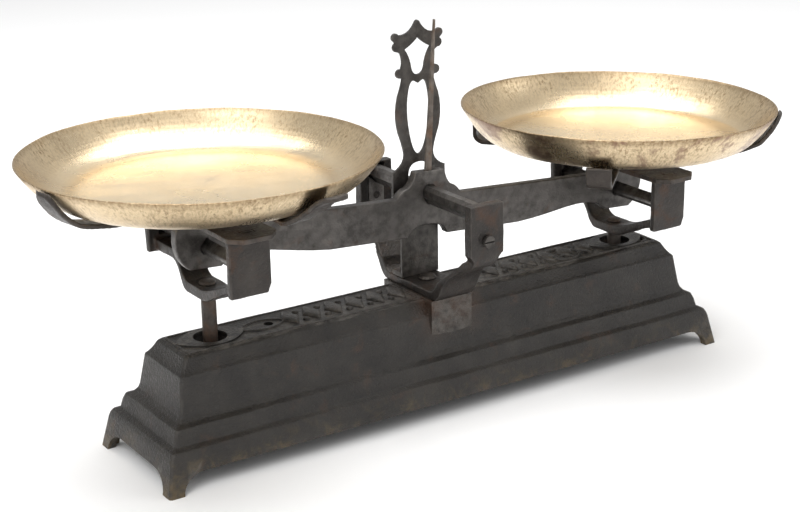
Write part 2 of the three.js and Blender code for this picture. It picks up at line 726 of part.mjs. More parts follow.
function stirrup() {
  const pocketHalf = END_KNIFE.width / 2 + ROCK_PLAY;
  const pocket = (side) =>
    block(
      [-pocketHalf, pocketHalf],
      side > 0
        ? [plateInner - 1, plateInner + END_POCKET_DEPTH]
        : [-plateInner - END_POCKET_DEPTH, 1 - plateInner],
      [endEdgeZ - END_KNIFE.height - 1.5, endEdgeZ + 9],
    );
  const body = join(
    yokeRear(),
    yokeFront(),
    stirrupPlate(1),
    stirrupPlate(-1),
    tenon(1),
    tenon(-1),
  );
  const bore = rodZ(STEM_TENON_R + GAP, YOKE_BOTTOM - 1, yokeTop + 1);
  return cut(body, pocket(1), pocket(-1), bore);
}

// The hardened block above an end knife. Built for the rear plate.
function endBearing() {
  const half = END_KNIFE.width / 2 + ROCK_PLAY - GAP;
  const apex = endEdgeZ + GAP;
  const mouth = apex - 3.6;
  const notch = 4.3;
  const shape = outline([
    [-half, mouth],
    [-notch, mouth],
    [0, apex],
    [notch, mouth],
    [half, mouth],
    [half, endEdgeZ + 9 - GAP],
    [-half, endEdgeZ + 9 - GAP],
  ]);
  const thickness = END_POCKET_DEPTH - 2 * GAP;
  return plateXZ(shape, thickness, plateInner + GAP + thickness / 2);
}

// The flat bar across the top of both plates, which the pan cross is riveted to.
function panBridge() {
  const half = BRIDGE_WIDTH / 2;
  const reach = plateOuter + BRIDGE_OVERHANG;
  const quarter = [
    [half, reach - BRIDGE_CHAMFER],
    [half - BRIDGE_CHAMFER, reach],
  ];
  const right = [...quarter.map(([x, y]) => [x, -y]).reverse(), ...quarter];
  const left = right.map(([x, y]) => [-x, y]).reverse();
  const plate = plateXY(outline([...right, ...left]), bridgeBottom, bridgeTop);
  const bore = rodZ(CROSS_RIVET_R + GAP, bridgeBottom - 1, bridgeTop + 1);
  return cut(plate, tenon(1, GAP), tenon(-1, GAP), bore);
}

const hubBottom = bridgeTop + GAP;

function crossHub(thickness) {
  const body = rodZ(HUB_R, hubBottom, hubBottom + thickness);
  return cut(body, rodZ(CROSS_RIVET_R + GAP, hubBottom - 1, hubBottom + thickness + 1));
}

// Height of a pan's outer surface over its floor at a radius.
function panRise(dish, radius) {
  const share = Math.max(0, (radius - dish.floorR) / (PAN_R - dish.floorR));
  return dish.depth * share ** dish.flare;
}

// The surface's slope there, as rise over run.
function panSlope(dish, radius) {
  return (panRise(dish, radius) - panRise(dish, radius - 0.5)) / 0.5;
}

// A hook's middle line, from the hub outwards. This one runs up under the pan's lower curve, past
// its wall and out to a tip that stands off from the rim.
function openHookLine(bottom, dish) {
  const flat = bottom + STRAP_THICKNESS / 2;
  const start = dish.floorR - HOOK_START;
  const seatR = dish.floorR + 16;
  const seat = dish.floor + panRise(dish, seatR) - GAP - 0.5 - STRAP_THICKNESS * 0.59;
  return [
    [start - 28, flat],
    [start - 10, flat],
    [start + 2, flat + 0.8],
    [seatR - 11, seat - 4.6],
    [seatR, seat],
    [seatR + 11, seat + 7],
    [seatR + 20, seat + 13.7],
    [HOOK_REACH - 6, seat + 17.8],
    [HOOK_REACH, seat + 18.6],
  ];
}

// A hook that closes on the pan: it follows the wall up from the lower curve to the rim.
function closeHookLine(bottom, dish) {
  const flat = bottom + STRAP_THICKNESS / 2;
  const start = dish.floorR - HOOK_START;
  const line = [
    [start - 28, flat],
    [start - 10, flat],
    [start + 1, flat + 0.2],
  ];
  for (const share of [0.3, 0.5, 0.7, 0.86, 1]) {
    const radius = dish.floorR + (PAN_R - dish.floorR) * share;
    const slope = panSlope(dish, radius);
    const run = Math.hypot(1, slope);
    const bow = HOOK_BOW * Math.sin(Math.PI * share);
    const off = STRAP_THICKNESS / 2 + HOOK_CLEARANCE + bow;
    const height = dish.floor + panRise(dish, radius) - radius * Math.sin(dish.lean);
    line.push([radius + (off * slope) / run, height - off / run]);
  }
  return line;
}

// A hook that has been knocked upright: it leaves the flat sharply beside the pan's lower curve.
function bentHookLine(bottom, dish) {
  const flat = bottom + STRAP_THICKNESS / 2;
  const uprightR = dish.floorR + 13;
  return [
    [uprightR - 61, flat],
    [uprightR - 12, flat],
    [uprightR - 4, flat + 0.6],
    [uprightR, flat + 4.4],
    [uprightR + 0.4, flat + 9.6],
    [uprightR + 0.6, flat + 15.6],
  ];
}

// One long strap with a hook at each end, along X, turned to its angle afterwards.
function hookStrap(bottom, dish, leftLine, rightLine, angle) {
  const left = leftLine(bottom, { ...dish, lean: 0 }).map(([r, z]) => [-r, z]);
  const along = [...left.reverse(), ...rightLine(bottom, dish)];
  const curve = new THREE.SplineCurve(along.map(([r, z]) => new THREE.Vector2(r, z)));
  curve.curveType = "catmullrom";
  const strap = plateXZ(ribbon(curve, STRAP_THICKNESS, 44), STRAP_WIDTH);
  const plan = new THREE.Shape();
  const tip = 7; // radius of a hook's rounded corners
  const half = STRAP_WIDTH / 2;
  // An upright hook keeps its square corners.
  const margin = (line) => (line === bentHookLine ? tip + 1 : 1);
  const start = Math.min(...along.map(([r]) => r)) - margin(leftLine);
  const end = Math.max(...along.map(([r]) => r)) + margin(rightLine);
  plan.moveTo(start + tip, -half);
  plan.lineTo(end - tip, -half);
  plan.quadraticCurveTo(end, -half, end, 0);
  plan.quadraticCurveTo(end, half, end - tip, half);
  plan.lineTo(start + tip, half);
  plan.quadraticCurveTo(start, half, start, 0);
  plan.quadraticCurveTo(start, -half, start + tip, -half);
  const rounded = strap.intersect(plateXY(plan, bottom - 5, bottom + 60, 4));
  const bored = cut(rounded, rodZ(CROSS_RIVET_R + GAP, bottom - 1, bottom + STRAP_THICKNESS + 1));
  return bored.rotate([0, 0, angle]);
}

// The rivet through bridge, hub and straps. The pan rests on its domed head.
function crossRivet(strapTop, panFloor) {
  const foot = bridgeBottom - GAP;
  const head = strapTop + GAP;
  const crown = panFloor - GAP;
  return turned([
    [0, foot - 2],
    [5, foot - 2],
    [6, foot],
    [CROSS_RIVET_R, foot],
    [CROSS_RIVET_R, head],
    [7, head],
    [6.4, (head + crown) / 2],
    [4.6, crown - 0.15],
    [0, crown],
  ]);
}

// ---------------------------------------------------------------- stem, stay and pins

const stemPinZ = STAY_PIVOT_Z - END_DROP;

function stem() {
  const shoulder = YOKE_BOTTOM - GAP;
  const clevisTop = stemPinZ + CLEVIS.above;
  const post = turned([
    [0, clevisTop - 4],
    [STEM_R, clevisTop - 4],
    [STEM_R, shoulder],
    [STEM_TENON_R, shoulder],
    [STEM_TENON_R, yokeTop + GAP],
    [6, yokeTop + GAP],
    [4.8, yokeTop + 2],
    [0, yokeTop + 2.8],
  ]);
  const clevis = block(
    [-CLEVIS.width / 2, CLEVIS.width / 2],
    [-CLEVIS.depth / 2, CLEVIS.depth / 2],
    [stemPinZ - CLEVIS.below, clevisTop],
  );
  const slotHalf = STAY_THICKNESS / 2 + PIN_PLAY;
  const slot = block(
    [-CLEVIS.width, CLEVIS.width],
    [-slotHalf, slotHalf],
    [stemPinZ - CLEVIS.below - 1, stemPinZ + STAY_EYE_R + 2.5],
  );
  return cut(join(post, clevis), slot, rodY(PIN_R + GAP, -CLEVIS.depth, CLEVIS.depth, 0, stemPinZ));
}

// A pin with a head at each end, hammered over outside the faces at plus and minus halfSpan.
function rivetPin(halfSpan, z) {
  const headFoot = halfSpan + GAP;
  return join(
    rodY(PIN_R, -headFoot - 0.5, headFoot + 0.5, 0, z),
    rodY(PIN_R + 1.8, headFoot, headFoot + 1.8, 0, z),
    rodY(PIN_R + 1.8, -headFoot - 1.8, -headFoot, 0, z),
  );
}

// The stay, level, round its own pivot: a flat bar with an eye at the middle and at each end.
function stayBar() {
  const bar = outline([
    [-ARM, -END_DROP - STAY_HEIGHT / 2],
    [0, -STAY_HEIGHT / 2],
    [ARM, -END_DROP - STAY_HEIGHT / 2],
    [ARM, -END_DROP + STAY_HEIGHT / 2],
    [0, STAY_HEIGHT / 2],
    [-ARM, -END_DROP + STAY_HEIGHT / 2],
  ]);
  const half = STAY_THICKNESS / 2;
  const eyes = [
    [-ARM, -END_DROP],
    [0, 0],
    [ARM, -END_DROP],
  ];
  const body = join(
    plateXZ(bar, STAY_THICKNESS),
    ...eyes.map(([x, z]) => rodY(STAY_EYE_R, -half, half, x, z)),
  );
  return cut(body, ...eyes.map(([x, z]) => rodY(PIN_R + PIN_PLAY, -half - 1, half + 1, x, z)));
}

// The inverted U under the roof that holds the stay's pivot pin.
function stayHanger() {
  const top = BASE_HEIGHT - BASE_ROOF - GAP;
  const foot = STAY_PIVOT_Z - 8;
  const half = HANGER_WIDTH / 2;
  const outer = HANGER_LEG_Y + HANGER_LEG;
  const leg = (y0, y1) => block([-half, half], [y0, y1], [foot, top]);
  const body = join(
    block([-half, half], [-outer, outer], [top - HANGER_TOP, top]),
    leg(HANGER_LEG_Y, outer),
    leg(-outer, -HANGER_LEG_Y),
  );
  return cut(
    body,
    rodZ(STUD_R + GAP, top - HANGER_TOP - 1, top + 1),
    rodY(PIN_R + GAP, -outer - 1, outer + 1, 0, STAY_PIVOT_Z),
  );
}

// ---------------------------------------------------------------- pans

function pan(dish) {
  const { sheet, floorR, lean } = dish;
  const steps = 7;
  const outer = [[0, 0]];
  const inner = [[0, sheet]];
  for (let i = 0; i <= steps; i++) {
    const radius = floorR + ((PAN_R - floorR) * i) / steps;
    outer.push([radius, panRise(dish, radius)]);
    const slope = i === 0 ? 0 : panSlope(dish, radius);
    const run = Math.hypot(1, slope);
    inner.push([radius - (sheet * slope) / run, panRise(dish, radius) + sheet / run]);
  }
  const level = turned([...outer, ...inner.reverse()], PAN_SEGMENTS);
  return level.rotate([0, THREE.MathUtils.radToDeg(lean), 0]).translate([0, 0, dish.floor]);
}

// ---------------------------------------------------------------- assembly

const balance = new THREE.Group();

const base = new THREE.Group();
balance.add(base);
addNode(base, "base_casting", baseCasting(), castIron);
addNode(base, "fork", fork(), forgedIron);
addNode(base, "fork_stud", forkStud(), forgedIron);
addNode(base, "fork_nut", forkNut(), forgedIron);
addNode(base, "bearing_rear", forkBearing(), knifeSteel);
addNode(base, "bearing_front", forkBearing().rotate([0, 0, 180]), knifeSteel);
addNode(base, "bearing_screw_rear", bearingScrew(), forgedIron);
addNode(base, "bearing_screw_front", bearingScrew().rotate([0, 0, 180]), forgedIron);
addNode(base, "lyre_plate", lyrePlate(), forgedIron);
addNode(base, "lyre_screw_left", lyreScrew(-1), forgedIron);
addNode(base, "lyre_screw_right", lyreScrew(1), forgedIron);
addNode(base, "stay_hanger", stayHanger(), forgedIron);
addNode(base, "stay_pivot_pin", rivetPin(HANGER_LEG_Y + HANGER_LEG, STAY_PIVOT_Z), forgedIron);

// A group whose contents are drawn level and turn with the beam about a pivot on Y at height z.
function rockingGroup(z) {
  const turn = new THREE.Group();
  turn.position.z = z;
  turn.rotation.y = TILT;
  balance.add(turn);
  const level = new THREE.Group();
  level.position.z = -z;
  turn.add(level);
  return level;
}

const beamGroup = rockingGroup(PIVOT_Z);
const centreKnifeLength = 2 * (armInner + POCKET_DEPTH - 2 * GAP);
const endKnifeLength = 2 * (plateInner + END_POCKET_DEPTH - 2 * GAP);
addNode(beamGroup, "beam", beam(), forgedIron);
addNode(beamGroup, "centre_knife", knife(CENTRE_KNIFE, 1, centreKnifeLength, 0, PIVOT_Z), knifeSteel);
addNode(beamGroup, "end_knife_left", knife(END_KNIFE, -1, endKnifeLength, -ARM, endEdgeZ), knifeSteel);
addNode(beamGroup, "end_knife_right", knife(END_KNIFE, -1, endKnifeLength, ARM, endEdgeZ), knifeSteel);
addNode(beamGroup, "pointer", pointer(), forgedIron);

const stayGroup = rockingGroup(STAY_PIVOT_Z);
addNode(stayGroup, "stay_bar", stayBar().translate([0, 0, STAY_PIVOT_Z]), forgedIron);

// Where a stirrup stands: upright, carried by its end knife from the level place to the rest place.
function carrierGroup(side) {
  const group = new THREE.Group();
  const knifeX = side * ARM * Math.cos(TILT) - END_DROP * Math.sin(TILT);
  const knifeDrop = side * ARM * Math.sin(TILT) + END_DROP * Math.cos(TILT);
  group.position.set(knifeX, 0, END_DROP - knifeDrop);
  balance.add(group);
  return group;
}

// The pan cross's four hooks: inner and outer ends of its lower strap, then of its upper one.
function addCarrier(name, side, { angle, hub, hooks, dish }) {
  const group = carrierGroup(side);
  const add = (piece, solid, look) => addNode(group, `${piece}_${name}`, solid, look);
  const lower = hubBottom + hub + GAP;
  const upper = lower + STRAP_THICKNESS + GAP;
  const strap = (bottom, ends, turn) => hookStrap(bottom, dish, ...ends, turn);
  add("stirrup", stirrup(), forgedIron);
  add("end_bearing_rear", endBearing(), knifeSteel);
  add("end_bearing_front", endBearing().rotate([0, 0, 180]), knifeSteel);
  add("stem", stem(), rustyIron);
  add("stem_pin", rivetPin(CLEVIS.depth / 2, stemPinZ), forgedIron);
  add("pan_bridge", panBridge(), rustyIron);
  add("cross_hub", crossHub(hub), forgedIron);
  add("hook_strap_lower", strap(lower, hooks.slice(0, 2), angle), forgedIron);
  add("hook_strap_upper", strap(upper, hooks.slice(2), angle + 90), forgedIron);
  add("cross_rivet", crossRivet(upper + STRAP_THICKNESS, dish.floor), forgedIron);
  add("pan", pan(dish), panBrass);
}

addCarrier("left", -1, {
  angle: LEFT_CROSS_ANGLE,
  hub: LEFT_HUB,
  hooks: [closeHookLine, closeHookLine, openHookLine, closeHookLine],
  dish: {
    floorR: LEFT_PAN_FLOOR_R,
    depth: LEFT_PAN_DEPTH,
    flare: LEFT_PAN_FLARE,
    sheet: LEFT_PAN_SHEET,
    floor: LEFT_PAN_FLOOR_Z,
    lean: 0,
  },
});
addCarrier("right", 1, {
  angle: RIGHT_CROSS_ANGLE,
  hub: RIGHT_HUB,
  hooks: [bentHookLine, closeHookLine, closeHookLine, bentHookLine],
  dish: {
    floorR: RIGHT_PAN_FLOOR_R,
    depth: RIGHT_PAN_DEPTH,
    flare: RIGHT_PAN_FLARE,
    sheet: RIGHT_PAN_SHEET,
    floor: RIGHT_PAN_FLOOR_Z,
    lean: RIGHT_PAN_LEAN,
  },
});

const spread = new THREE.Box3().setFromObject(balance);
balance.position.x = -(spread.min.x + spread.max.x) / 2;
balance.position.y = -(spread.min.y + spread.max.y) / 2;

export default balance;
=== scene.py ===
# The looks of an antique counter balance: moulded cast-iron base, forged fork, beam and stirrups on
# knife edges, a pierced lyre behind the pointer, and two spun brass pans on hooked strap crosses.
# Metres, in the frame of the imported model. Sizes written in millimetres are multiplied by MM.
import json
import math

import bmesh
import bpy
from mathutils import Matrix, Vector, noise


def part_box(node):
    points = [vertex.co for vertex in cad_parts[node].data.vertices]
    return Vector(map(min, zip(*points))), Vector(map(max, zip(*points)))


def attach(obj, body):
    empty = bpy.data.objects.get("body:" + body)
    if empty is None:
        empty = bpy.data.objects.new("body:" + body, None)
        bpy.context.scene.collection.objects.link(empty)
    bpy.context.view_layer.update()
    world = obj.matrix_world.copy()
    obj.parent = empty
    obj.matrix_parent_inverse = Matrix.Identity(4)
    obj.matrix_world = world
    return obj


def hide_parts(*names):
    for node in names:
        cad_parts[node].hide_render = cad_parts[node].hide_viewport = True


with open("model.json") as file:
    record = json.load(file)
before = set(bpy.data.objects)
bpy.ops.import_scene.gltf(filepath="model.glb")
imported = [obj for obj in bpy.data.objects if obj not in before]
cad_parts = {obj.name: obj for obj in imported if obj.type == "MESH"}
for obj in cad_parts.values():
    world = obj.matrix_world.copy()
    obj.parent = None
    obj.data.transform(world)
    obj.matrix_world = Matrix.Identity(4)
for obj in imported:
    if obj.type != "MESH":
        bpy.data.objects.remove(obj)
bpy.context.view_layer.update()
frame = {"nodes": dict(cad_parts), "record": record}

MM = 0.001
nodes = frame["nodes"]

base_low, base_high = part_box("base_casting")
CX = (base_low.x + base_high.x) / 2  # middle of the base
CY = (base_low.y + base_high.y) / 2


# ---------------------------------------------------------------- camera and light

CAMERA_PLACE = Vector((-657.7, -966.2, 497.7)) * MM  # from the middle of the base
YAW, PITCH, ROLL = 0.5809, -0.3237, -0.0166

forward = Vector((math.sin(YAW) * math.cos(PITCH), math.cos(YAW) * math.cos(PITCH), math.sin(PITCH)))
right = Vector((math.cos(YAW), -math.sin(YAW), 0))
up = right.cross(forward)
right, up = (
    right * math.cos(ROLL) + up * math.sin(ROLL),
    up * math.cos(ROLL) - right * math.sin(ROLL),
)

camera_data = bpy.data.cameras.new("camera")
camera_data.lens = 76.36
camera_data.sensor_width = 36
camera_data.clip_end = 20
camera = bpy.data.objects.new("camera", camera_data)
bpy.context.scene.collection.objects.link(camera)
turn = Matrix((right, up, -forward)).transposed()
camera.matrix_world = Matrix.Translation(CAMERA_PLACE + Vector((CX, CY, 0))) @ turn.to_4x4()
bpy.context.scene.camera = camera


LIT_POINT = Vector((0, 0, 0.1))


def area_light(name, place, size, power):
    """A soft white panel that faces the object."""
    data = bpy.data.lights.new(name, "AREA")
    data.shape = "RECTANGLE"
    data.size, data.size_y = size
    data.energy = power
    lamp = bpy.data.objects.new(name, data)
    lamp.location = Vector(place)
    lamp.rotation_euler = (LIT_POINT - lamp.location).to_track_quat("-Z", "Y").to_euler()
    bpy.context.scene.collection.objects.link(lamp)


area_light("key", (-1.3, -0.9, 1.5), (1.2, 0.9), 20)
area_light("fill", (1.6, -1.3, 1.0), (1.4, 1.0), 8)
area_light("overhead", (0.1, 0.3, 1.9), (1.9, 1.6), 34)

world = bpy.data.worlds.new("studio")
world.use_nodes = True
world.node_tree.nodes["Background"].inputs[0].default_value = (1, 1, 1, 1)
world.node_tree.nodes["Background"].inputs[1].default_value = 0.6
bpy.context.scene.world = world
bpy.context.scene.view_settings.view_transform = "Standard"


# ---------------------------------------------------------------- materials


class Shader:
    """One node material, written as short expressions. Its place is the object's own coordinates."""

    def __init__(self, name):
        self.material = bpy.data.materials.new(name)
        self.material.use_nodes = True
        self.tree = self.material.node_tree
        self.tree.nodes.clear()
        output = self.add("OutputMaterial")
        self.surface = self.add("BsdfPrincipled")
        self.tree.links.new(self.surface.outputs[0], output.inputs[0])
        self.place = self.add("TexCoord").outputs["Object"]
        self.edges = self.add("NewGeometry").outputs["Pointiness"]

    def add(self, kind):
        return self.tree.nodes.new("ShaderNode" + kind)

    def put(self, socket, value):
        if isinstance(value, bpy.types.NodeSocket):
            self.tree.links.new(value, socket)
        elif value is not None:
            if socket.type == "RGBA" and len(value) == 3:
                value = (*value, 1)
            socket.default_value = value

    def set(self, name, value):
        self.put(self.surface.inputs[name], value)

    def noise(self, scale, detail=4.0, rough=0.55, place=None, twist=0.0):
        node = self.add("TexNoise")
        self.put(node.inputs["Vector"], place or self.place)
        self.put(node.inputs["Scale"], scale)
        self.put(node.inputs["Detail"], detail)
        self.put(node.inputs["Roughness"], rough)
        self.put(node.inputs["Distortion"], twist)
        return node.outputs[0]

    def cells(self, scale, place=None):
        node = self.add("TexVoronoi")
        self.put(node.inputs["Vector"], place or self.place)
        self.put(node.inputs["Scale"], scale)
        return node.outputs[0]

    def math(self, operation, a, b=None):
        node = self.add("Math")
        node.operation = operation
        for socket, value in zip(node.inputs, (a, b)):
            self.put(socket, value)
        return node.outputs[0]

    def spread(self, value, low, high, start=0.0, end=1.0):
        node = self.add("MapRange")
        for socket, entry in zip(node.inputs, (value, low, high, start, end)):
            self.put(socket, entry)
        return node.outputs[0]

    def mix(self, share, a, b, blend="MIX"):
        node = self.add("Mix")
        node.data_type = "RGBA"
        node.blend_type = blend
        self.put(node.inputs[0], share)
        self.put(node.inputs[6], a)
        self.put(node.inputs[7], b)
        return node.outputs[2]

    def vector(self, operation, a, b=None):
        node = self.add("VectorMath")
        node.operation = operation
        self.put(node.inputs[0], a)
        self.put(node.inputs[1], b)
        return node.outputs[0]

    def split(self, value):
        node = self.add("SeparateXYZ")
        self.put(node.inputs[0], value)
        return node.outputs

    def joined(self, x, y, z):
        node = self.add("CombineXYZ")
        for socket, value in zip(node.inputs, (x, y, z)):
            self.put(socket, value)
        return node.outputs[0]

    def bump(self, height, depth, strength=1.0, after=None):
        node = self.add("Bump")
        self.put(node.inputs["Strength"], strength)
        self.put(node.inputs["Distance"], depth)
        self.put(node.inputs["Height"], height)
        self.put(node.inputs["Normal"], after)
        return node.outputs[0]


PIT_STRAY = 0.002  # how far the pits stray from an even pattern


def iron(name, dark, mid, worn, rust, rust_share, rough, pit_depth, metal, grime=0.0, boss=0.0):
    """Old iron: mottled, pitted, rubbed bright on its edges, rusted in patches and darkened with painted shade
    in its hollows. grime adds the ochre dirt of a cast base near the floor, boss the rust round the middle of
    the base."""
    s = Shader(name)
    cloud = s.noise(38, 6, 0.6)
    speck = s.noise(420, 5, 0.6)
    grain = s.noise(1500, 3, 0.6)
    stray = s.vector("MULTIPLY", s.joined(cloud, speck, cloud), (PIT_STRAY, PIT_STRAY, PIT_STRAY))
    pits = s.cells(520, s.vector("ADD", s.place, stray))
    colour = s.mix(s.spread(cloud, 0.36, 0.66), dark, mid)
    colour = s.mix(s.math("MULTIPLY", s.spread(speck, 0.54, 0.76), 0.16), colour, worn)
    rusty = s.spread(s.noise(55, 7, 0.65, twist=0.4), 0.62 - 0.3 * rust_share, 0.78 - 0.3 * rust_share)
    if boss:
        x, y, z = s.split(s.place)
        beside = s.math("ABSOLUTE", s.math("SUBTRACT", x, CX))
        near = s.spread(beside, 0.018, 0.034, 1.0, 0.0)
        high = s.spread(z, 0.05, 0.078)
        front = s.spread(s.math("SUBTRACT", y, CY), -0.004, 0.004, 1.0, 0.15)
        patch = s.math("MULTIPLY", s.math("MULTIPLY", near, high), front)
        spots = s.spread(s.noise(90, 5), 0.3, 0.55)
        patch = s.math("MULTIPLY", s.math("MULTIPLY", patch, spots), boss)
        rusty = s.math("MAXIMUM", s.math("MULTIPLY", rusty, 0.8), patch)
    colour = s.mix(s.math("MULTIPLY", rusty, 0.85), colour, rust)
    edge = s.spread(s.edges, 0.515, 0.6)
    edge = s.math("MULTIPLY", edge, s.spread(s.noise(160, 4), 0.35, 0.6))
    colour = s.mix(s.math("MULTIPLY", edge, 0.75), colour, worn)
    # painted shade: where pointiness is low, in hollows and creases, the colour darkens towards a third of the
    # dark tone
    hollow = s.spread(s.edges, 0.485, 0.42)
    colour = s.mix(s.math("MULTIPLY", hollow, 0.6), colour, tuple(0.35 * c for c in dark))
    if grime:
        height = s.split(s.place)[2]
        low = s.spread(height, 0.004, 0.03, 1.0, 0.0)
        feet = s.spread(height, 0.0, 0.014, 1.0, 0.0)
        ochre = s.math("MULTIPLY", low, s.spread(s.noise(95, 8, 0.72, twist=0.6), 0.5, 0.66))
        ochre = s.math("MAXIMUM", ochre, s.math("MULTIPLY", feet, s.spread(s.noise(150, 6), 0.38, 0.56)))
        colour = s.mix(s.math("MULTIPLY", ochre, grime), colour, (0.13, 0.092, 0.042))
    s.set("Base Color", colour)
    s.set("Metallic", metal)
    s.set("Roughness", s.spread(speck, 0.3, 0.7, rough - 0.1, rough + 0.12))
    height = s.math("ADD", s.math("MULTIPLY", cloud, 0.5), s.math("MULTIPLY", speck, 0.8))
    height = s.math("ADD", height, s.math("MULTIPLY", grain, 0.25))
    height = s.math("ADD", height, s.math("MULTIPLY", s.spread(pits, 0.0, 0.45), 0.35))
    s.set("Normal", s.bump(height, pit_depth, 0.9))
    return s.material


def brass(name, middle, tarnish, patches):
    """Spun brass: paler on the floor as a painted reflection of the light above, streaked down the wall, brown
    round the rim. patches is the share of dark blotches on the outside of the wall."""
    s = Shader(name)
    local = s.vector("SUBTRACT", s.place, tuple(middle))
    x, y, z = s.split(local)
    flat = s.joined(x, y, 0.0)
    radius = s.math("SQRT", s.math("ADD", s.math("MULTIPLY", x, x), s.math("MULTIPLY", y, y)))
    compass = s.vector("NORMALIZE", flat)
    cx, cy, _ = s.split(compass)
    column = s.joined(cx, cy, s.math("MULTIPLY", z, 6.0))
    streaks = s.noise(62, 6, 0.62, place=column)
    broad = s.noise(9, 3, 0.5, place=column)
    fine = s.noise(170, 4, 0.6, place=column)
    facing = s.split(s.add("NewGeometry").outputs["Normal"])[2]
    under = s.spread(facing, 0.02, -0.02)
    cloud = s.noise(22, 5, 0.6)
    blot = s.noise(45, 6, 0.65, twist=0.5)
    wall = s.spread(radius, 0.082, 0.104)
    rim = s.spread(radius, 0.1165, 0.1198)
    # painted reflection: the floor gets a paler, whiter brass than the wall, standing in for the bright light
    # that it reflects from above
    floor_painted_reflection = s.mix(s.spread(cloud, 0.35, 0.65), (0.9, 0.79, 0.6), (0.84, 0.71, 0.5))
    golden = s.mix(s.spread(fine, 0.35, 0.65), (0.62, 0.47, 0.28), (0.76, 0.61, 0.4))
    colour = s.mix(s.math("MULTIPLY", wall, 0.85), floor_painted_reflection, golden)
    upper = s.math("MAXIMUM", s.spread(radius, 0.098, 0.114), s.math("MULTIPLY", under, 0.8))
    brown = s.math("MULTIPLY", s.spread(streaks, 0.46, 0.64), s.spread(broad, 0.35, 0.6, 0.25, 1.0))
    brown = s.math("MULTIPLY", s.math("MULTIPLY", brown, upper), s.math("MULTIPLY", wall, tarnish))
    colour = s.mix(brown, colour, (0.25, 0.165, 0.09))
    ring = s.math("MULTIPLY", rim, s.spread(s.noise(60, 4, place=column), 0.3, 0.6, 0.35, 0.95))
    colour = s.mix(s.math("MULTIPLY", ring, tarnish), colour, (0.2, 0.125, 0.06))
    seat = s.spread(radius, 0.078, 0.086)
    seat = s.math("MULTIPLY", seat, s.spread(radius, 0.086, 0.094, 1.0, 0.0))
    colour = s.mix(s.math("MULTIPLY", seat, 0.35), colour, (0.5, 0.34, 0.16))
    stain = s.spread(blot, 0.6 - 0.12 * patches, 0.7 - 0.12 * patches)
    stain = s.math("MULTIPLY", stain, s.math("MULTIPLY", s.math("MULTIPLY", wall, under), patches))
    colour = s.mix(stain, colour, (0.22, 0.125, 0.09))
    dots = s.spread(s.cells(70), 0.035, 0.06, 1.0, 0.0)
    dots = s.math("MULTIPLY", dots, s.spread(s.noise(18, 2), 0.5, 0.56))
    colour = s.mix(s.math("MULTIPLY", dots, 0.7), colour, (0.2, 0.12, 0.06))
    s.set("Base Color", colour)
    s.set("Metallic", 1.0)
    dull = s.math("ADD", s.math("MULTIPLY", brown, 0.18), s.math("MULTIPLY", ring, 0.12))
    rough = s.math("ADD", s.spread(cloud, 0.35, 0.65, 0.2, 0.3), dull)
    s.set("Roughness", s.math("ADD", rough, s.math("MULTIPLY", wall, 0.05)))
    turning = s.add("TexWave")
    turning.wave_type = "RINGS"
    turning.rings_direction = "Z"
    s.put(turning.inputs["Vector"], local)
    s.put(turning.inputs["Scale"], 120)
    s.put(turning.inputs["Distortion"], 1.2)
    s.put(turning.inputs["Detail"], 2)
    height = s.math("ADD", s.math("MULTIPLY", turning.outputs["Fac"], 0.18), s.math("MULTIPLY", fine, 0.5))
    height = s.math("ADD", height, s.math("MULTIPLY", s.noise(160, 4), 0.6))
    s.set("Normal", s.bump(height, 0.00022, 0.55))
    return s.material


RUST = (0.06, 0.031, 0.018)
cast_iron = iron(
    "cast_iron_base", (0.0125, 0.0105, 0.009), (0.026, 0.0225, 0.019), (0.11, 0.1, 0.088), RUST,
    0.14, 0.42, 0.0009, 0.2, grime=0.75, boss=0.9,
)
forged = iron(
    "iron_forged", (0.02, 0.017, 0.015), (0.045, 0.038, 0.033), (0.17, 0.155, 0.14), RUST,
    0.26, 0.42, 0.0006, 0.45,
)
beam_iron = iron(
    "iron_beam", (0.034, 0.03, 0.027), (0.07, 0.063, 0.058), (0.23, 0.215, 0.2), RUST,
    0.15, 0.4, 0.0004, 0.5,
)
strap_iron = iron(
    "iron_strap", (0.026, 0.021, 0.018), (0.056, 0.046, 0.039), (0.19, 0.17, 0.15), (0.07, 0.042, 0.026),
    0.3, 0.4, 0.0005, 0.5,
)
rusty_iron = iron(
    "iron_rusty", (0.022, 0.017, 0.014), (0.046, 0.036, 0.03), (0.15, 0.13, 0.112), (0.068, 0.038, 0.023),
    0.5, 0.48, 0.0006, 0.35,
)
plate_iron = iron(
    "iron_plate", (0.022, 0.019, 0.017), (0.046, 0.04, 0.035), (0.16, 0.148, 0.132), RUST,
    0.22, 0.44, 0.0004, 0.4,
)
pointer_iron = iron(
    "iron_pointer", (0.06, 0.048, 0.04), (0.11, 0.09, 0.074), (0.24, 0.21, 0.18), (0.12, 0.065, 0.035),
    0.5, 0.46, 0.0003, 0.4,
)
knife_steel = iron(
    "steel_knife", (0.04, 0.036, 0.033), (0.09, 0.082, 0.076), (0.28, 0.265, 0.25), RUST,
    0.2, 0.36, 0.0003, 0.8,
)

floor_look = Shader("pale_floor")
floor_look.set("Base Color", (0.93, 0.93, 0.93))
floor_look.set("Roughness", 0.9)


# ---------------------------------------------------------------- mesh helpers


def new_object(name, mesh, material=None):
    thing = bpy.data.objects.new(name, mesh)
    bpy.context.scene.collection.objects.link(thing)
    if material:
        mesh.materials.clear()
        mesh.materials.append(material)
    return thing


def mesh_of(name, vertices, faces):
    mesh = bpy.data.meshes.new(name)
    mesh.from_pydata([tuple(v) for v in vertices], [], faces)
    mesh.validate()
    bm = bmesh.new()
    bm.from_mesh(mesh)
    bmesh.ops.recalc_face_normals(bm, faces=bm.faces)
    bm.to_mesh(mesh)
    bm.free()
    return mesh


def shade(mesh, degrees=32):
    for face in mesh.polygons:
        face.use_smooth = True
    mesh.set_sharp_from_angle(angle=math.radians(degrees))


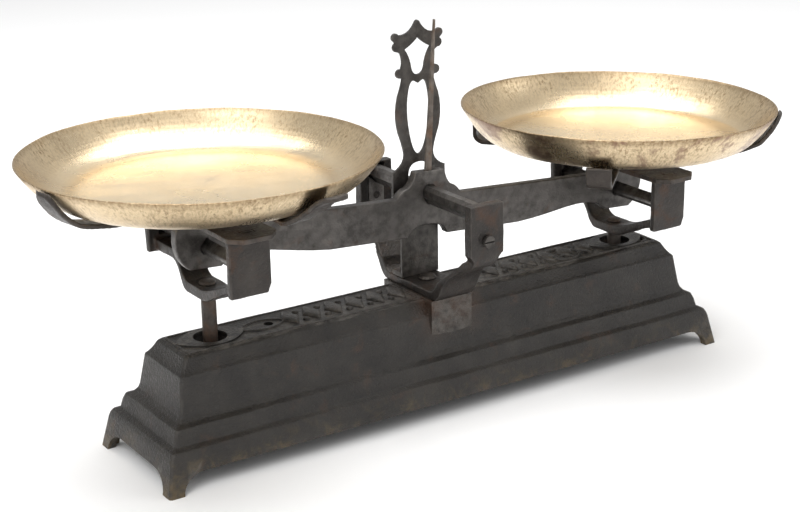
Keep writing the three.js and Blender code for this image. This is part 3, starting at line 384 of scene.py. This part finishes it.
def prism(name, outline, low, high, axis="Z"):
    """A closed prism. outline is [(a, b)] in mm; axis is the direction that it is drawn out in."""
    place = {
        "Z": lambda a, b, c: (a, b, c),
        "Y": lambda a, b, c: (a, c, b),
        "X": lambda a, b, c: (c, a, b),
    }[axis]
    count = len(outline)
    vertices = [Vector(place(a, b, c)) * MM for c in (low, high) for a, b in outline]
    faces = [tuple(range(count)), tuple(range(count, 2 * count))]
    for i in range(count):
        j = (i + 1) % count
        faces.append((i, j, j + count, i + count))
    return mesh_of(name, vertices, faces)


def circle(radius, x=0.0, y=0.0, sides=48, squash=1.0):
    steps = [2 * math.pi * i / sides for i in range(sides)]
    return [(x + radius * math.cos(t), y + radius * squash * math.sin(t)) for t in steps]


def filleted(points, reach, steps=3):
    """The line with each inner corner rounded over up to reach on both sides."""
    line = [Vector(points[0])]
    for before, corner, after in zip(points, points[1:], points[2:]):
        corner = Vector(corner)
        into, out = Vector(before) - corner, Vector(after) - corner
        start = corner + into.normalized() * min(reach, into.length * 0.45)
        end = corner + out.normalized() * min(reach, out.length * 0.45)
        for i in range(steps + 1):
            t = i / steps
            line.append(start * (1 - t) ** 2 + corner * 2 * t * (1 - t) + end * t**2)
    line.append(Vector(points[-1]))
    return line


def boolean(mesh, cutters):
    """The mesh after cutting away each of the cutters."""
    thing = new_object("work", mesh)
    tools = []
    for cutter in cutters:
        tool = new_object("tool", cutter)
        tools.append(tool)
        step = thing.modifiers.new("cut", "BOOLEAN")
        step.operation = "DIFFERENCE"
        step.solver = "EXACT"
        step.object = tool
    depsgraph = bpy.context.evaluated_depsgraph_get()
    result = bpy.data.meshes.new_from_object(thing.evaluated_get(depsgraph))
    for tool in [thing, *tools]:
        bpy.data.objects.remove(tool)
    return result


def finish_piece(piece, body, slot, *stands_for):
    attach(piece, body)
    if stands_for:
        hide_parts(*stands_for)
    return piece


def node_copy(node):
    """A clean copy of a CAD node's mesh, with its flat faces whole."""
    mesh = bpy.data.meshes.new(node + "_fine")
    bm = bmesh.new()
    bm.from_mesh(nodes[node].data)
    bmesh.ops.remove_doubles(bm, verts=bm.verts, dist=2e-5)
    bmesh.ops.dissolve_limit(bm, angle_limit=math.radians(0.8), verts=bm.verts, edges=bm.edges)
    bm.to_mesh(mesh)
    bm.free()
    mesh.materials.clear()
    return mesh


slots = {entry["node"]: entry["material_slot"] for entry in frame["record"]["subparts"]}


def crisp(node, body, material, edge=0.6):
    """A machined or filed piece: the node with its edges eased."""
    mesh = node_copy(node)
    for face in mesh.polygons:
        face.use_smooth = True
    piece = new_object(node + "_fine", mesh, material)
    ease = piece.modifiers.new("ease", "BEVEL")
    ease.width = edge * MM
    ease.segments = 2
    ease.limit_method = "ANGLE"
    ease.angle_limit = math.radians(31)
    ease.use_clamp_overlap = True
    weigh = piece.modifiers.new("weigh", "WEIGHTED_NORMAL")
    weigh.weight = 90
    return finish_piece(piece, body, slots[node], node)


hammering = bpy.data.textures.new("hammering", "CLOUDS")
hammering.noise_scale = 0.012
hammering.noise_depth = 2


def forged_piece(node, body, material, voxel=0.9, soften=4, dents=0.7):
    """A forged piece: the node with rounded arrises and a faintly hammered skin."""
    piece = new_object(node + "_forged", node_copy(node), material)
    remesh = piece.modifiers.new("remesh", "REMESH")
    remesh.mode = "VOXEL"
    remesh.voxel_size = voxel * MM
    remesh.use_smooth_shade = True
    soft = piece.modifiers.new("soften", "SMOOTH")
    soft.factor = 0.5
    soft.iterations = soften
    dent = piece.modifiers.new("dent", "DISPLACE")
    dent.texture = hammering
    dent.texture_coords = "LOCAL"
    dent.strength = dents * MM
    dent.mid_level = 0.55
    return finish_piece(piece, body, slots[node], node)


# ---------------------------------------------------------------- base casting

LENGTH, WIDTH, HEIGHT = 480.0, 108.0, 82.5
WALL, ROOF = 5.5, 6.0
ARM = 178.0  # stem holes, from the middle

MOULDING = [
    (0, 0), (4.8, 23), (5.6, 25.6), (7, 28), (11, 30), (12.4, 36), (14.2, 40.4), (18.2, 42.3),
    (20.6, 45.4), (21.8, 49.2), (25.2, 71.2), (27, 72.8), (28.8, 75.2), (30.4, 78), (32, 81),
    (34.1, 82.5),
]


def ring(inset, z, corner, along=44, across=10, turn_steps=4):
    """One level of the base: a rectangle with rounded corners, as points in mm."""
    a, b = LENGTH / 2 - inset, WIDTH / 2 - inset
    points = []
    for quarter in range(4):
        sx, sy = ((1, 1), (-1, 1), (-1, -1), (1, -1))[quarter]
        for i in range(turn_steps + 1):
            t = math.pi / 2 * (quarter + i / turn_steps)
            x = sx * (a - corner) + corner * math.cos(t)
            y = sy * (b - corner) + corner * math.sin(t)
            points.append((x, y, z))
        steps = along if quarter % 2 == 0 else across
        x0, y0, _ = points[-1]
        nx, ny = ((-1, 1), (-1, -1), (1, -1), (1, 1))[quarter]
        nt = math.pi / 2 * (quarter + 1)
        x1 = nx * (a - corner) + corner * math.cos(nt)
        y1 = ny * (b - corner) + corner * math.sin(nt)
        for i in range(1, steps):
            points.append((x0 + (x1 - x0) * i / steps, y0 + (y1 - y0) * i / steps, z))
    return points


def stacked(levels, count):
    """The faces of a closed solid whose levels are loops of count points, one above another."""
    faces = [tuple(range(count)), tuple(range((levels - 1) * count, levels * count))]
    for level in range(levels - 1):
        low, high = level * count, (level + 1) * count
        for i in range(count):
            j = (i + 1) % count
            faces.append((low + i, low + j, high + j, high + i))
    return faces


def lofted(name, levels, corner, uneven=0.0):
    """A closed solid through the levels [(inset, z)], with a slightly uneven cast skin."""
    rings = [ring(inset, z, corner) for inset, z in levels]
    count = len(rings[0])
    vertices = []
    for line in rings:
        for x, y, z in line:
            if uneven and z > 1:
                sway = noise.noise(Vector((x, y, z)) * 0.03) + 0.5 * noise.noise(Vector((x, y, z)) * 0.09)
                y += uneven * sway * (1 if y < 0 else -1)
                z += 0.6 * uneven * noise.noise(Vector((x, y, z + 60)) * 0.045)
                x += uneven * sway * (1 if x < 0 else -1)
            vertices.append(Vector((x, y, z)) * MM)
    return mesh_of(name, vertices, stacked(len(rings), count))


def foot_gap(half):
    """The open space between two feet, across a side or an end of the given half length."""
    toe, sweep, rise = half - 11.0, 17.0, 13.5
    curve = []
    for i in range(9):
        t = math.pi / 2 * i / 8
        curve.append((toe - sweep * (1 - math.cos(t)), rise * math.sin(t)))
    right_side = [(toe, -2.0), *curve]
    return right_side + [(-x, z) for x, z in reversed(right_side)]


def lens(x, y, length, width, steps=18):
    """A pointed leaf shape along X."""
    top = []
    for i in range(steps + 1):
        t = -1 + 2 * i / steps
        top.append((x + t * length / 2, y + width / 2 * (1 - t * t) ** 0.85))
    return top + [(px, 2 * y - py) for px, py in reversed(top[1:-1])]


shell_levels = filleted(MOULDING, 0.7)
outside = lofted("shell", shell_levels, 2.4, uneven=0.5)
inside = lofted("hollow", [
    (WALL, -2), (WALL + 5, 25), (WALL + 22, 49.5), (WALL + 25.2, 71.4), (WALL + 27.2, HEIGHT - ROOF),
], 2.4)
boss_depth = WIDTH / 2 - 23
boss_half, boss_foot = 17.5, 56
boss_outline = [
    (-boss_half, -boss_depth), (boss_half, -boss_depth), (boss_half, boss_depth), (-boss_half, boss_depth),
]
boss = prism("boss", boss_outline, boss_foot, HEIGHT + 0.05)
collars = [prism("collar", lens(side * ARM, 0, 52, 33), HEIGHT - 2, HEIGHT + 1.2) for side in (-1, 1)]
stem_holes = [prism("hole", circle(11.7, side * ARM, 0), HEIGHT - 12, HEIGHT + 4) for side in (-1, 1)]
collars = [boolean(collar, [hole]) for collar, hole in zip(collars, stem_holes)]
bolt_hole = prism("hole", circle(4.3), HEIGHT - 12, HEIGHT + 4)
boss = boolean(boss, [inside, bolt_hole])
shell = boolean(outside, [
    inside,
    prism("gap", foot_gap(LENGTH / 2), -WIDTH / 2 - 2, WIDTH / 2 + 2, "Y"),
    prism("gap", foot_gap(WIDTH / 2), -LENGTH / 2 - 2, LENGTH / 2 + 2, "X"),
    *stem_holes,
    bolt_hole,
    prism("hole", circle(3.4, -133, 0, 24), HEIGHT - 3.5, HEIGHT + 4),
    prism("hole", circle(4.4, 195, -8, 24), HEIGHT - 1.6, HEIGHT + 4),
])
shell.transform(Matrix.Translation((CX, CY, 0)))
bm = bmesh.new()
bm.from_mesh(shell)
for mesh in (boss, *collars):
    mesh.transform(Matrix.Translation((CX, CY, 0)))
    bm.from_mesh(mesh)
bmesh.ops.remove_doubles(bm, verts=bm.verts, dist=1e-5)
bm.to_mesh(shell)
bm.free()
for face in shell.polygons:
    face.use_smooth = True
base_shell = new_object("base_shell", shell, cast_iron)
ease = base_shell.modifiers.new("ease", "BEVEL")
ease.width = 0.6 * MM
ease.segments = 2
ease.limit_method = "ANGLE"
ease.angle_limit = math.radians(50)
weigh = base_shell.modifiers.new("weigh", "WEIGHTED_NORMAL")
weigh.weight = 60
finish_piece(base_shell, "base", "cast_iron", "base_casting")


# ---------------------------------------------------------------- low relief on the base's top


def pillow(name, outline, low, high, draw_in):
    """A cast boss: the outline at low, drawn in towards its middle at high, with a soft crown."""
    middle = sum((Vector(p) for p in outline), Vector((0, 0))) / len(outline)
    tall = high - low
    levels = [
        (0.0, low),
        (0.0, low + 0.35 * tall),
        (0.45 * draw_in, low + 0.8 * tall),
        (draw_in, high),
    ]
    vertices, count = [], len(outline)
    for inset, z in levels:
        for p in outline:
            out = Vector(p) - middle
            reach = max(0.2, 1 - inset / max(out.length, 1e-6))
            q = middle + out * reach
            vertices.append(Vector((q.x, q.y, z)) * MM)
    return mesh_of(name, vertices, stacked(len(levels), count))


def band(name, outline, width, low, high):
    """A raised closed line of the given width along an outline."""
    count = len(outline)
    points = [Vector(p) for p in outline]
    vertices = []
    shoulder = low + 0.6 * (high - low)
    section = [(-0.5, low), (-0.42, shoulder), (-0.2, high), (0.2, high), (0.42, shoulder), (0.5, low)]
    for i in range(count):
        along = (points[(i + 1) % count] - points[i - 1]).normalized()
        side = Vector((-along.y, along.x))
        for share, z in section:
            q = points[i] + side * (share * width)
            vertices.append(Vector((q.x, q.y, z)) * MM)
    n = len(section)
    faces = []
    for i in range(count):
        j = (i + 1) % count
        for k in range(n):
            m = (k + 1) % n
            faces.append((i * n + k, j * n + k, j * n + m, i * n + m))
    return mesh_of(name, vertices, faces)


def rounded_box(x0, x1, y, corner=2.5, steps=4):
    points = []
    for quarter, (px, py) in enumerate(((x1, y), (x0, y), (x0, -y), (x1, -y))):
        sx, sy = (-1, 1, 1, -1)[quarter], (-1, -1, 1, 1)[quarter]
        for i in range(steps + 1):
            t = math.pi / 2 * (quarter + i / steps)
            points.append((px + sx * corner + corner * math.cos(t), py + sy * corner + corner * math.sin(t)))
    return points


def placed(mesh):
    mesh.transform(Matrix.Translation((CX, CY, 0)))
    shade(mesh, 40)
    return mesh


relief = []
foot = HEIGHT - 0.6
for x0, x1 in ((-203, -21), (21, 203)):
    relief.append(band("border", rounded_box(x0, x1, 17.6), 2.2, foot, HEIGHT + 0.75))
for x0, x1, count in ((-116, -28, 6), (56, 146, 6)):
    pitch = (x1 - x0) / (count - 1)
    for i in range(count):
        x = x0 + pitch * i
        lozenge = [(x - 7, 0), (x - 0.8, -12), (x + 0.8, -12), (x + 7, 0), (x + 0.8, 12), (x - 0.8, 12)]
        relief.append(pillow("lozenge", lozenge, foot, HEIGHT + 2.3, 3.0))
        if i < count - 1:
            for y in (-8, 8):
                relief.append(pillow("bead", circle(2.5, x + pitch / 2, y, 16), foot, HEIGHT + 1.7, 1.2))
relief.append(band("leaf", lens(-138, 0, 34, 17), 1.8, foot, HEIGHT + 0.9))
relief.append(band("hoop", circle(12.5, 125, -3, 40, 0.92), 2.6, foot, HEIGHT + 1.3))
relief.append(band("ringlet", circle(6.2, 195, -8, 28), 1.6, foot, HEIGHT + 0.8))
ornament = bpy.data.meshes.new("ornament")
bm = bmesh.new()
for mesh in relief:
    bm.from_mesh(placed(mesh))
bm.to_mesh(ornament)
bm.free()
shade(ornament, 40)
finish_piece(new_object("top_ornament", ornament, cast_iron), "base", "cast_iron")


# ---------------------------------------------------------------- iron work

forged_piece("fork", "base", forged)
for node in ("fork_stud", "fork_nut", "stay_hanger", "stay_pivot_pin"):
    crisp(node, "base", forged, 0.5)
for node in ("bearing_screw_front", "bearing_screw_rear", "lyre_screw_left", "lyre_screw_right"):
    crisp(node, "base", forged, 0.25)
for node in ("bearing_front", "bearing_rear"):
    crisp(node, "base", knife_steel, 0.3)
crisp("lyre_plate", "base", plate_iron, 0.45)

crisp("beam", "beam", beam_iron, 0.9)
for node in ("centre_knife", "end_knife_left", "end_knife_right"):
    crisp(node, "beam", knife_steel, 0.25)
crisp("pointer", "beam", pointer_iron, 0.3)
crisp("stay_bar", "stay", forged, 0.6)

for side in ("left", "right"):
    body = "carrier_" + side
    forged_piece("stirrup_" + side, body, forged)
    for strap in ("lower", "upper"):
        forged_piece(f"hook_strap_{strap}_{side}", body, strap_iron, voxel=0.8, soften=3, dents=0.5)
    for piece in ("end_bearing_front", "end_bearing_rear"):
        crisp(f"{piece}_{side}", body, knife_steel, 0.3)
    crisp("stem_" + side, body, rusty_iron, 0.5)
    crisp("stem_pin_" + side, body, forged, 0.4)
    crisp("pan_bridge_" + side, body, rusty_iron, 0.7)
    crisp("cross_hub_" + side, body, forged, 0.5)
    crisp("cross_rivet_" + side, body, strap_iron, 0.4)


# ---------------------------------------------------------------- pans

RIM_R = 120.5
PROFILE = {"left": (84.0, 24.5, 2.3), "right": (96.0, 26.0, 1.6)}  # floor radius, depth, flare
PAN_SIDES = 144


def pan_mesh(name, sheet, seed, profile):
    """A spun dish of even thickness with a rounded rim, as used: faintly dented and out of round."""
    floor_r, depth, flare = profile

    def pan_rise(radius):
        return depth * max(0.0, (radius - floor_r) / (RIM_R - floor_r)) ** flare

    radii = [0, 14, 28, 42, 54, 64, 72, 78, floor_r - 2.5]
    radii += [floor_r + (RIM_R - floor_r - 0.15) * (i / 26) for i in range(27)]
    outer, inner = [], []
    for radius in radii:
        slope = (pan_rise(radius + 0.05) - pan_rise(radius - 0.05)) / 0.1
        run = math.hypot(1, slope)
        outer.append(Vector((radius, pan_rise(radius))))
        inner.append(Vector((radius - sheet * slope / run, pan_rise(radius) + sheet / run)))
    lip_from, lip_to = outer[-1], inner[-1]
    middle, half = (lip_from + lip_to) / 2, (lip_from - lip_to) / 2
    out = Vector((-half.y, half.x))
    lip = [middle + half * math.cos(t) + out * math.sin(t) for t in (math.pi * i / 5 for i in range(1, 5))]
    profile = outer + lip + list(reversed(inner))
    anchor = radii + [RIM_R] * len(lip) + list(reversed(radii))
    vertices, faces, rows = [], [], []
    for point, at in zip(profile, anchor):
        if at == 0:
            rows.append([len(vertices)])
            vertices.append(Vector((0, 0, point.y)) * MM)
            continue
        row = []
        for i in range(PAN_SIDES):
            t = 2 * math.pi * i / PAN_SIDES
            probe = Vector((at * math.cos(t), at * math.sin(t), 17.0 * seed))
            dent = noise.noise(probe * 0.028) * 0.32 + noise.noise(probe * 0.075) * 0.14
            wall = max(0.0, at - floor_r) / (RIM_R - floor_r)
            around = Vector((math.cos(t), math.sin(t), seed)) * 2.6
            pull = -0.35 * wall * (0.6 + noise.noise(around))
            lift = dent * min(1.0, at / 30) - 0.3 * wall * (0.6 + noise.noise(around * 1.6))
            reach = point.x + pull
            row.append(len(vertices))
            z = max(0.05, point.y + lift + 0.35)
            vertices.append(Vector((reach * math.cos(t), reach * math.sin(t), z)) * MM)
        rows.append(row)
    for first, second in zip(rows, rows[1:]):
        if len(first) == 1:
            faces += [(first[0], second[(i + 1) % PAN_SIDES], second[i]) for i in range(PAN_SIDES)]
        elif len(second) == 1:
            faces += [(first[i], first[(i + 1) % PAN_SIDES], second[0]) for i in range(PAN_SIDES)]
        else:
            for i in range(PAN_SIDES):
                j = (i + 1) % PAN_SIDES
                faces.append((first[i], first[j], second[j], second[i]))
    return mesh_of(name, vertices, faces)


LEAN = {"left": 0.0, "right": math.radians(1.05)}
SHEET = {"left": 1.2, "right": 1.3}
for seed, side in enumerate(("left", "right"), 1):
    hub_low, hub_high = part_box("cross_hub_" + side)
    rivet_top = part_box("cross_rivet_" + side)[1].z
    hub_middle = (hub_low + hub_high) / 2
    middle = Vector((hub_middle.x, hub_middle.y, rivet_top + 0.3 * MM))
    mesh = pan_mesh("pan", SHEET[side], seed, PROFILE[side])
    mesh.transform(Matrix.Translation(middle) @ Matrix.Rotation(LEAN[side], 4, "Y"))
    shade(mesh, 60)
    look = brass("brass_" + side, middle, (0.75, 0.85)[seed - 1], (0.15, 0.75)[seed - 1])
    dish = new_object(f"pan_{side}_spun", mesh, look)
    finish_piece(dish, "pan_" + side, "pan_brass", "pan_" + side)


# ---------------------------------------------------------------- floor

floor = new_object("floor", mesh_of("floor", [(-6, -6, 0), (6, -6, 0), (6, 6, 0), (-6, 6, 0)], [(0, 1, 2, 3)]))
floor.data.materials.append(floor_look.material)
